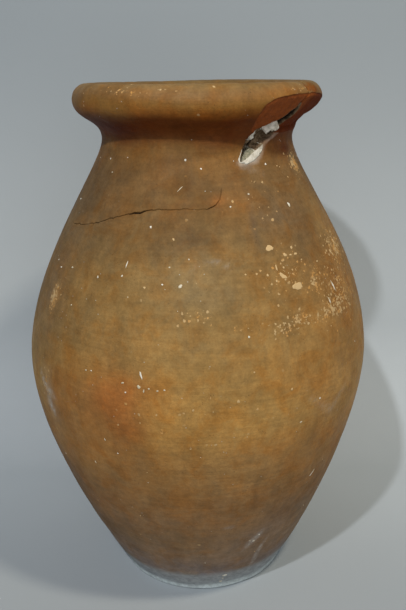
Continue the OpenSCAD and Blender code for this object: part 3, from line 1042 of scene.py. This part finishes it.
def clay_material():
    """Smoke-stained terracotta: a worn satin skin, limescale on the foot, dull breaks."""
    m = Shader("weathered_terracotta")
    tone = m.attribute("tone", "Color")
    spots = lost_skin(m)
    scar, hollow = m.attribute("scar"), m.attribute("hollow")
    patchy = m.span(m.noise(70, 5, 0.7), 0.3, 0.5, 0.72, 1.0)
    lime = m.times(m.attribute("lime"), patchy)
    crust = m.shade(tone, m.span(m.noise(140, 5, 0.7), 0.3, 0.7, 0.8, 1.2))
    colour = m.mix(lime, skin(m, tone, spots), crust)
    colour = m.mix(m.times(m.attribute("inner"), 0.9), colour, inside_dust(m))
    colour = broken_clay(m, colour, scar, hollow)
    dull = m.math("MAXIMUM", m.math("MAXIMUM", scar, hollow), m.math("MAXIMUM", lime, spots))
    satin = m.span(m.noise(40, 4, 0.6), 0.3, 0.7, 0.52, 0.68)
    roughness = m.math("ADD", satin, m.times(dull, 0.35), clamp=True)
    return m.finish(colour, roughness, clay_relief(m, spots, dull), 0.12)


def plaster_material():
    """Old white plaster, crumbly and stained."""
    m = Shader("old_plaster")
    colour = m.mix(m.span(m.noise(120, 5, 0.65), 0.42, 0.68), PLASTER, PLASTER_DIRTY)
    streaks = m.mix(m.span(m.noise(330, 4, 0.7), 0.4, 0.6), ALGAE, ALGAE_PALE)
    colour = m.mix(m.times(m.attribute("stain"), 0.9), colour, streaks)
    colour = m.shade(colour, m.span(m.cells(420), 0.05, 0.22, 0.7, 1.0))
    height = m.math("ADD", m.noise(420, 5, 0.7), m.times(m.cells(500), 0.6))
    return m.finish(colour, 0.9, m.bump(height, 0.5), 0.2)


def fleck_material():
    """Dried lime and flaked slip, matte and chalky."""
    m = Shader("lime_fleck")
    colour = m.mix(m.span(m.noise(200), 0.4, 0.6), FLECK_WHITE, FLECK_DULL)
    colour = m.mix(m.attribute("stain"), colour, CREAM)
    return m.finish(colour, 0.85, m.bump(m.noise(700), 0.2), 0.25)


# ---- Plaster ----

PATCH_STEP = 0.55
# How far the plaster's top and underside lie inside the worn surface, where it has no height
TOP_SUNK, UNDER_SUNK = 0.15, 0.9
THINNEST = 0.02
SMEAR_STAIN = 0.42


def patch(name, angles, drops, thickness, stain):
    """A closed layer on the worn surface. thickness(s) is its height in mm, 0 where bare."""
    v = np.arange(LINE.arc(drops[0]), LINE.arc(drops[1]), PATCH_STEP)
    r = np.interp(v.mean(), LINE.v, LINE.r)
    u = np.arange(angles[0], angles[1], np.degrees(PATCH_STEP / r))
    uu, vv = (g.ravel() for g in np.meshgrid(u, v))
    p, n, s = surface(uu, vv)
    t = thickness(s)
    top = p + n * (np.maximum(t, 0) - TOP_SUNK)[:, None]
    bottom = p - n * UNDER_SUNK
    keep = (t > THINNEST).reshape(len(v), len(u))
    cell = keep[:-1, :-1] & keep[1:, :-1] & keep[:-1, 1:] & keep[1:, 1:]
    return layered(name, top, bottom, cell, len(u), stain(s))


def layered(name, top, bottom, cell, n, stain):
    """Top, bottom and sides of the chosen cells of a grid n points wide."""
    count = len(top)
    faces = []
    padded = np.pad(cell, 1)
    for j, i in zip(*np.nonzero(cell)):
        a, b, c, d = j * n + i, j * n + i + 1, (j + 1) * n + i + 1, (j + 1) * n + i
        faces.append((a, b, c, d))
        faces.append((count + d, count + c, count + b, count + a))
        for near, (x, y) in (((j, i + 1), (a, b)), ((j + 1, i + 2), (b, c)),
                             ((j + 2, i + 1), (c, d)), ((j + 1, i), (d, a))):
            if not padded[near]:
                faces.append((count + x, count + y, y, x))
    used = np.unique(np.array([k for f in faces for k in f]))
    index = np.full(2 * count, -1)
    index[used] = np.arange(len(used))
    verts = np.vstack([top, bottom])[used] * MM
    ob = make_object(name, verts.tolist(), [tuple(int(index[k]) for k in f) for f in faces])
    paint(ob, "stain", np.concatenate([stain, stain])[used])
    return ob


def along_gouge(s):
    """Place along the gouge, and share across it: -1 at its upper lip, 1 at its lower."""
    d, side, place, (half, _) = s.to(GOUGE_LINE)
    return place, side * d / np.maximum(half, 1)


def band(x, low, high, soft):
    """1 between low and high, easing to 0 at both."""
    return ease(x, low, low + soft) * (1 - ease(x, high - soft, high))


def filling(s):
    """Plaster left on the walls of the gouge."""
    place, share = along_gouge(s)
    ragged = 0.35 * noise(s.point, 4) + 0.2 * noise(s.point, 1.8)
    first = band(place + ragged, 2.85, 4.35, 0.25) * band(share + 0.3 * ragged, -1.1, -0.55, 0.2)
    second = band(place + ragged, 5.0, 6.0, 0.25) * band(share + 0.3 * ragged, -1.1, -0.42, 0.2)
    low = band(place + 0.5 * ragged, 6.0, 8.2, 0.5) * band(share + 0.3 * ragged, -0.1, 1.3, 0.35)
    depth = gouge_depth(s)
    upper = np.maximum(first, second) * (depth * 0.8 + 0.6)
    lower = low * (depth * 0.62 + 0.5)
    return np.maximum(upper, lower) * (1 + 0.25 * noise(s.point, 3)) - 0.12


def smears(s):
    """Plaster wiped over the sound surface round the gouge."""
    total = np.zeros(len(s.u))
    for line, height in ((SMEAR_LINE, 1.3), (LEFT_LIP_LINE, 0.8)):
        d, _, _, (half,) = s.to(line)
        edge = half + 0.9 * rough(s.point, 5) * np.minimum(half / 3, 1) - d
        total = np.maximum(total, height * ease(edge, 0, 1.8))
    outside = ease(-s.gouge, -0.6, 0.4)
    return total * outside * (1 + 0.3 * noise(s.point, 2.5)) - 0.05


def filling_stain(s):
    """Algae on the lowest stretch of the filling."""
    place, share = along_gouge(s)
    return ease(place, 5.9, 6.4) * ease(share, -0.3, 0.2)


def smear_stain(s):
    """Even dirt on the smears."""
    return np.full(len(s.u), SMEAR_STAIN)


def make_plaster():
    """The filling left in the gouge, and the smears round it."""
    filled = patch("plaster_filling", (-72, -36), (94, 34), filling, filling_stain)
    wiped = patch("plaster_smear", (-74, -34), (96, 42), smears, smear_stain)
    return [filled, wiped]


# ---- Lime flecks ----

# (angle, height, half width, half height, tilt in degrees, 1 for cream), the last two 0 if left out
FLECKS = [
    (-96, 568, 1.4, 1.4), (-88, 559, 1.1, 1.1), (-98, 539, 0.5, 4.2, -42), (-162, 515, 1.5, 1.3),
    (-109, 501, 1.2, 1.6), (-145, 565, 1, 1), (-116, 463, 0.6, 4.6, -10), (-127, 446, 1.1, 1.4),
    (-117, 451, 1.1, 1.4), (-100, 463, 1, 1), (-102, 446, 1.1, 1.1), (-108, 442, 1.4, 1.4, 0, 1),
    (-96, 445, 2.6, 1.7, 30), (-142, 448, 1.4, 1.2), (-150, 443, 1.6, 1.2), (-136, 411, 1.1, 1.1),
    (-125, 348, 1, 0.8), (-123, 349, 1, 0.8), (-106.5, 354, 1.1, 4.6, 22), (-112, 343, 2.2, 0.8, 15),
    (-107, 341, 2, 2.2), (-105.5, 337, 0.8, 2), (-104, 340, 1.3, 0.8), (-101.5, 338.5, 1.1, 0.9),
    (-99.5, 340, 1.1, 0.9), (-111, 333, 1, 1), (-46, 516, 1.9, 2.7, 20), (-74, 454, 1.1, 1.1, 0, 1),
    (-75, 393, 1.3, 1.3), (-58, 285, 1.5, 1, 20), (-119, 268, 0.7, 1.6, 10), (-115, 253, 0.9, 0.9),
    (-125, 229, 0.7, 2.2, 15), (-45.5, 193, 0.6, 5.5, -35), (-37, 424, 0.9, 8.5, 20),
    (-41.5, 411, 1, 4.2, 20), (-63, 477, 5.6, 3.4, 10, 1), (-53, 474, 1.7, 2, 0, 1),
    (-57, 468, 2.6, 2, 0, 1), (-54.5, 467, 2, 1, 0, 1), (-52, 467, 2.6, 1.4, -10, 1),
    (-62, 457, 1.2, 3.2, 0, 1), (-59, 456, 1.4, 1.2, 0, 1), (-60, 448, 5.2, 2.8, -25, 1),
    (-66, 451, 1.5, 1.5, 0, 1), (-63, 444, 1.1, 1.6, 0, 1), (-55, 435, 7, 4.8, 0, 1),
    (-23, 465, 1.8, 2.8, 20, 1), (-30, 456, 1.1, 6, 30, 1), (-42, 454, 1.5, 1.1, 0, 1),
    (-77, 31, 3.2, 2.6), (-79, 16, 2, 1.8), (-78, 24, 1, 1), (-66, 101, 1.6, 1.2, 25),
    (-68, 104, 1, 0.8), (-64, 112, 1.2, 0.7, 40), (-52, 582, 1, 1),
]
# Rings out from a fleck's middle: (share of its size, height above the surface)
FLECK_RINGS = [(0.55, 0.34), (0.85, 0.2), (1.0, -0.25)]
FLECK_TOP = 0.38
FLECK_SIDES = 20
# What makes its edge uneven: numbers of lobes, the depth of one lobe, and a share at random
LOBES = (2, 3, 5)
LOBE_DEPTH = 0.27
RAGGED_EDGE = (0.88, 1.1)
# The flecks at random: how many, where, how tilted, their sizes, and the share in cream
SCATTERED = 70
ANGLES, HEIGHTS, TILTS = (-268, 88), (60, 580), (-40, 40)
SMALLEST, SIZE_SPREAD, TALLNESS = 0.5, 0.8, (0.7, 1.5)
CREAM_SHARE = 0.4
FLECK_SEED = 23


def fleck_points(angle, height, half_w, half_h, tilt, rng):
    """Angles, arc lengths and heights above the surface of a fleck's middle and rings."""
    v0 = float(LINE.arc(POT_H - height))
    r0 = float(np.interp(v0, LINE.v, LINE.r))
    turn = 2 * np.pi * np.arange(FLECK_SIDES) / FLECK_SIDES
    wobble = np.ones(FLECK_SIDES)
    for lobes in LOBES:
        wobble += LOBE_DEPTH / lobes * np.sin(lobes * turn + rng.uniform(0, 2 * np.pi))
    wobble *= rng.uniform(*RAGGED_EDGE, FLECK_SIDES)
    x, y = half_w * np.cos(turn) * wobble, half_h * np.sin(turn) * wobble
    c, s = math.cos(math.radians(tilt)), math.sin(math.radians(tilt))
    x, y = x * c - y * s, x * s + y * c
    u, v, lift = [[angle]], [[v0]], [[FLECK_TOP]]
    for share, ring_lift in FLECK_RINGS:
        u.append(angle + np.degrees(x * share / r0))
        v.append(v0 + y * share)
        lift.append(np.full(FLECK_SIDES, ring_lift))
    return [np.concatenate(part) for part in (u, v, lift)]


def fleck_faces(start):
    """Faces of one fleck: the fan at its middle, the rings, then its flat underside."""
    rings = [[start + 1 + k * FLECK_SIDES + i for i in range(FLECK_SIDES)]
             for k in range(len(FLECK_RINGS))]
    faces = [(start, a, b) for a, b in zip(rings[0], rings[0][1:] + rings[0][:1])]
    for inner, outer in zip(rings, rings[1:]):
        for i in range(FLECK_SIDES):
            j = (i + 1) % FLECK_SIDES
            faces.append((inner[i], outer[i], outer[j], inner[j]))
    return faces + [tuple(reversed(rings[-1]))]


def scattered(rng):
    """More flecks at random between the foot and the neck, most of them small."""
    for _ in range(SCATTERED):
        size = SMALLEST + SIZE_SPREAD * rng.random() ** 2
        yield (rng.uniform(*ANGLES), rng.uniform(*HEIGHTS), size, size * rng.uniform(*TALLNESS),
               rng.uniform(*TILTS), float(rng.random() < CREAM_SHARE))


def make_flecks():
    """All the flecks as one mesh that lies on the worn surface."""
    rng = np.random.default_rng(FLECK_SEED)
    flecks = [(*row, 0, 0)[:6] for row in FLECKS] + list(scattered(rng))
    u, v, lift = np.concatenate([fleck_points(*shape, rng) for *shape, _ in flecks], axis=1)
    p, n, _ = surface(u, v)
    p += n * lift[:, None]
    count = 1 + FLECK_SIDES * len(FLECK_RINGS)
    faces = [face for k in range(len(flecks)) for face in fleck_faces(k * count)]
    ob = make_object("lime_flecks", (p * MM).tolist(), faces)
    paint(ob, "stain", np.repeat([cream for *_, cream in flecks], count))
    return ob


# ---- Stage ----

# Places and lengths in metres, angles in degrees, lens and sensor in mm
CAMERA_AT = (0, -0.896, 0.66044)
CAMERA_DIP = 18.35
CAMERA_ROLL = -0.67
SENSOR_W = 36
LENS = 41.84
SHIFT_X = 0.00426
BACKDROP_Y, BACKDROP_H, BACKDROP_HALF_W = 0.38, 3.2, 4.0
SWEEP_R = 0.2
SWEEP_STEPS = 24
# Paper colours: lighter low down, darker high up and in front, a painted light falloff.
PAPER_LOW, PAPER_HIGH = srgb(198, 205, 209), srgb(152, 160, 166)
PAPER_IN_FRONT, PAPER_SHADE = srgb(170, 177, 182), srgb(140, 148, 152)
SKY = (0.93, 0.97, 1.0)
SKY_STRENGTH = 0.22


def make_camera():
    """The camera that the jar is seen from."""
    camera = bpy.data.cameras.new("camera")
    camera.sensor_width = SENSOR_W
    camera.lens = LENS
    camera.shift_x = SHIFT_X
    ob = link("camera", camera)
    turn = Matrix.Rotation(math.pi / 2 - math.radians(CAMERA_DIP), 3, "X")
    turn = turn @ Matrix.Rotation(math.radians(CAMERA_ROLL), 3, "Z")
    ob.location = CAMERA_AT
    ob.rotation_euler = turn.to_euler()
    bpy.context.scene.camera = ob


def backdrop_material():
    """Pale grey paper with a painted light falloff, that is clear when seen from behind."""
    m = Shader("backdrop_paper")
    place = m.node("SeparateXYZ", {"Vector": m.coords}).outputs
    # Painted light falloff: lighter low down, darker high up and towards the front.
    colour = m.mix(m.span(place["Z"], 0.2, 0.8), PAPER_LOW, PAPER_HIGH)
    colour = m.mix(m.span(place["Y"], 0.2, -0.2), colour, PAPER_IN_FRONT)
    colour = m.mix(m.times(m.noise(6, 2), 0.1), colour, PAPER_SHADE)
    material = m.finish(colour, 0.9, m.bump(m.noise(300, 2), 0.1), 0.1)
    m.clear_from_behind()
    return material


def make_stage():
    """A pale floor that sweeps up into a backdrop behind the pot."""
    start = BACKDROP_Y - SWEEP_R
    path = [(-BACKDROP_HALF_W, 0.0), (start, 0.0)]
    for k in range(1, SWEEP_STEPS + 1):
        a = math.pi / 2 * k / SWEEP_STEPS
        path.append((start + SWEEP_R * math.sin(a), SWEEP_R - SWEEP_R * math.cos(a)))
    path.append((BACKDROP_Y, BACKDROP_H))
    verts = [(x, y, z) for y, z in path for x in (-BACKDROP_HALF_W, BACKDROP_HALF_W)]
    faces = [(2 * k, 2 * k + 1, 2 * k + 3, 2 * k + 2) for k in range(len(path) - 1)]
    ob = make_object("backdrop", verts, faces)
    ob.data.materials.append(backdrop_material())


def lamp(name, azimuth, elevation, distance, size, watts, colour):
    """A square lamp that faces the middle of the pot."""
    data = bpy.data.lights.new(name, "AREA")
    data.size = size
    data.energy = watts
    data.color = colour
    ob = link(name, data)
    a, e = math.radians(azimuth), math.radians(elevation)
    target = Vector((0, 0, POT_H * MM / 2))
    offset = Vector((math.cos(e) * math.cos(a), math.cos(e) * math.sin(a), math.sin(e))) * distance
    ob.location = target + offset
    ob.rotation_euler = (-offset).to_track_quat("-Z", "Y").to_euler()


def make_lights():
    """Two lamps high in front, a broad low one, and a faint sky."""
    lamp("left", -108, 46, 1.75, 0.05, 13, (0.97, 0.98, 1.0))
    lamp("right", -50, 57, 1.75, 0.15, 12, (1.0, 0.91, 0.75))
    lamp("front", -80, 6, 2.4, 1.4, 11, (1.0, 0.98, 0.95))
    world = bpy.data.worlds.new("studio")
    bpy.context.scene.world = world
    world.use_nodes = True
    background = world.node_tree.nodes["Background"]
    background.inputs["Color"].default_value = (*SKY, 1)
    background.inputs["Strength"].default_value = SKY_STRENGTH


# ---- Build ----


def keep(ob, material, slot, *nodes):
    """Gives a piece its material and ties it to the CAD part."""
    ob.data.materials.append(material)
    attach(ob, "root")
    if nodes:
        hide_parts(*nodes)


def build():
    make_camera()
    keep(make_pot(), clay_material(), "fired_clay", "pot")
    plaster = plaster_material()
    for ob in make_plaster():
        keep(ob, plaster, "white_plaster", "repair_plaster")
    keep(make_flecks(), fleck_material(), "white_plaster")
    make_stage()
    make_lights()
    bpy.context.scene.view_settings.view_transform = "Standard"


build()
